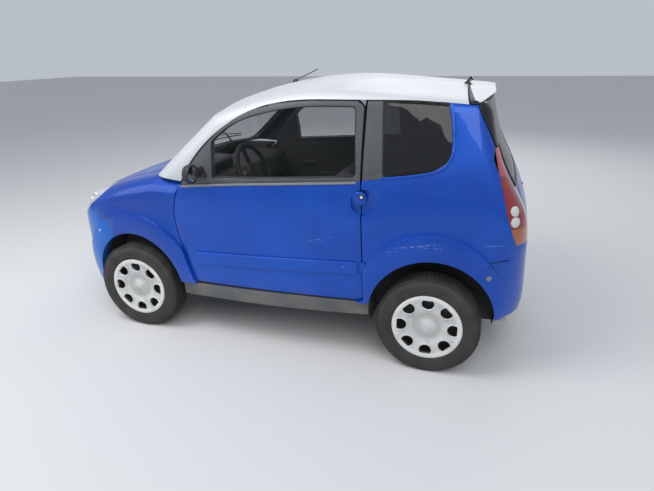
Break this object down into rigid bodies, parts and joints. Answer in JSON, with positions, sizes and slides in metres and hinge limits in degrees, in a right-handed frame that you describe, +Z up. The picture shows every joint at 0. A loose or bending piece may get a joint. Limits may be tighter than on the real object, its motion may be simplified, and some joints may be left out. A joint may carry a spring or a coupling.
{
  "type": "microcar",
  "caption": "Small two-seat city car with a plastic body, hinged doors, bonnet and tailgate, steered front wheels and a hollow cabin.",
  "frame": {"origin": "on the ground under the middle of the car's length, on the centre plane", "axes": "+X forward, +Y to the car's left, +Z up"},
  "size_m": [2.7414, 1.622, 1.444],
  "materials": {
    "body_paint": "metallic blue",
    "bumper_paint": "brighter metallic blue",
    "silver_paint": "metallic silver",
    "grey_paint": "dusty silver grey",
    "grey_plastic": "grained",
    "black_plastic": "grained",
    "glass": "clear",
    "tinted_glass": "dark tint",
    "lamp_clear": "clear",
    "lamp_red": "translucent",
    "wheel_silver": "painted",
    "tyre": "matte",
    "steel": "dusty",
    "frame_metal": "raw",
    "engine_metal": "cast",
    "seat_cloth": "woven"
  },
  "bodies": {
    "body": {"chassis_frame": "frame_metal", "floor_pan": "frame_metal", "wheel_liners": "black_plastic", "engine_block": "engine_metal", "fuel_tank": "black_plastic", "exhaust": "steel", "front_suspension": "steel", "rear_suspension": "steel", "front_bumper": "bumper_paint", "grille": "black_plastic", "headlamps": "lamp_clear", "front_wings": "body_paint", "windscreen": "glass", "windscreen_frame": "silver_paint", "roof": "silver_paint", "quarter_panels": "body_paint", "pillar_covers": "grey_plastic", "quarter_windows": "tinted_glass", "quarter_strips": "body_paint", "sills": "grey_paint", "tail_lamps": "lamp_red", "rear_bumper": "body_paint", "scuttle": "black_plastic", "dashboard": "black_plastic", "steering_column": "black_plastic", "seat_cushions": "seat_cloth", "seat_backs": "seat_cloth", "seat_bases": "black_plastic"},
    "bonnet": {"bonnet": "body_paint"},
    "tailgate": {"tailgate": "body_paint", "tailgate_glass": "tinted_glass", "spoiler": "silver_paint"},
    "steering_wheel": {"steering_wheel": "black_plastic"},
    "door_left": {"door_left": "body_paint", "door_frame_left": "grey_plastic", "door_glass_left": "glass", "mirror_left": "black_plastic", "handle_left": "body_paint", "rub_strip_left": "body_paint"},
    "knuckle_left": {"knuckle_left": "steel"},
    "wheel_front_left": {"rim_front_left": "wheel_silver", "tyre_front_left": "tyre"},
    "wheel_rear_left": {"rim_rear_left": "wheel_silver", "tyre_rear_left": "tyre"},
    "door_right": {"door_right": "body_paint", "door_frame_right": "grey_plastic", "door_glass_right": "glass", "mirror_right": "black_plastic", "handle_right": "body_paint", "rub_strip_right": "body_paint"},
    "knuckle_right": {"knuckle_right": "steel"},
    "wheel_front_right": {"rim_front_right": "wheel_silver", "tyre_front_right": "tyre"},
    "wheel_rear_right": {"rim_rear_right": "wheel_silver", "tyre_rear_right": "tyre"}
  },
  "joints": [
    {"name": "bonnet_hinge", "type": "hinge", "parent": "body", "child": "bonnet", "pos_m": [0.748, 0, 0.94], "axis": [0, -1, 0], "range_deg": [0, 60]},
    {"name": "tailgate_hinge", "type": "hinge", "parent": "body", "child": "tailgate", "pos_m": [-0.99, 0, 1.413], "axis": [0, 1, 0], "range_deg": [0, 75]},
    {"name": "door_left_hinge", "type": "hinge", "parent": "body", "child": "door_left", "pos_m": [0.385, 0.679, 0.6], "axis": [0, 0, -1], "range_deg": [0, 65]},
    {"name": "door_right_hinge", "type": "hinge", "parent": "body", "child": "door_right", "pos_m": [0.385, -0.679, 0.6], "axis": [0, 0, 1], "range_deg": [0, 65]},
    {"name": "steer_left", "type": "hinge", "parent": "body", "child": "knuckle_left", "pos_m": [0.805, 0.585, 0.262], "axis": [0, 0, 1], "range_deg": [-30, 30]},
    {"name": "steer_right", "type": "hinge", "parent": "body", "child": "knuckle_right", "pos_m": [0.805, -0.585, 0.262], "axis": [0, 0, 1], "range_deg": [-30, 30]},
    {"name": "steering_wheel_turn", "type": "hinge", "parent": "body", "child": "steering_wheel", "pos_m": [0.175, 0.3, 0.905], "axis": [-0.922, 0, 0.3872], "range_deg": [-450, 450]},
    {"name": "wheel_front_left_spin", "type": "hinge", "parent": "knuckle_left", "child": "wheel_front_left", "pos_m": [0.805, 0.635, 0.262], "axis": [0, 1, 0], "continuous": true},
    {"name": "wheel_rear_left_spin", "type": "hinge", "parent": "body", "child": "wheel_rear_left", "pos_m": [-0.91, 0.635, 0.262], "axis": [0, 1, 0], "continuous": true},
    {"name": "wheel_front_right_spin", "type": "hinge", "parent": "knuckle_right", "child": "wheel_front_right", "pos_m": [0.805, -0.635, 0.262], "axis": [0, 1, 0], "continuous": true},
    {"name": "wheel_rear_right_spin", "type": "hinge", "parent": "body", "child": "wheel_rear_right", "pos_m": [-0.91, -0.635, 0.262], "axis": [0, 1, 0], "continuous": true}
  ],
  "couplings": [
    {"joint": "steer_right", "follows": "steer_left", "ratio": 1},
    {"joint": "steering_wheel_turn", "follows": "steer_left", "ratio": 15}
  ]
}
